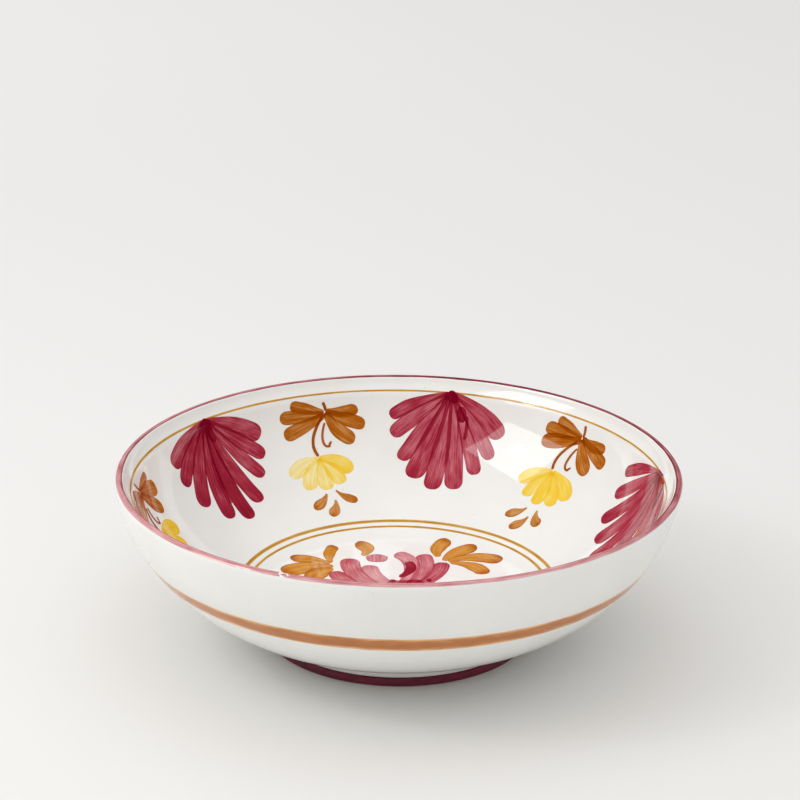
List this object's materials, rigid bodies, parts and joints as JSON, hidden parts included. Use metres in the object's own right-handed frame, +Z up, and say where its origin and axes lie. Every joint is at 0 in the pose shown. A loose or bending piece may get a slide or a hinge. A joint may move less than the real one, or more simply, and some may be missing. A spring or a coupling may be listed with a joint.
{
  "type": "serving bowl",
  "caption": "Wide round earthenware serving bowl on a low foot ring, clear glazed inside and out, with painted flowers, leaf sprigs and bands.",
  "frame": {"origin": "centre of the flat face that the foot ring rests on", "axes": "+Z up along the bowl's axis of revolution, towards the open mouth; +Y points away from the side seen first"},
  "size_m": [0.3, 0.3, 0.093],
  "materials": {
    "clear_glaze": "clear gloss glaze over a white body",
    "foot_glaze": "burgundy underglaze colour under clear gloss glaze, bare clay where it rests"
  },
  "bodies": {
    "root": {"bowl_body": "clear_glaze", "foot_ring": "foot_glaze"}
  },
  "joints": []
}
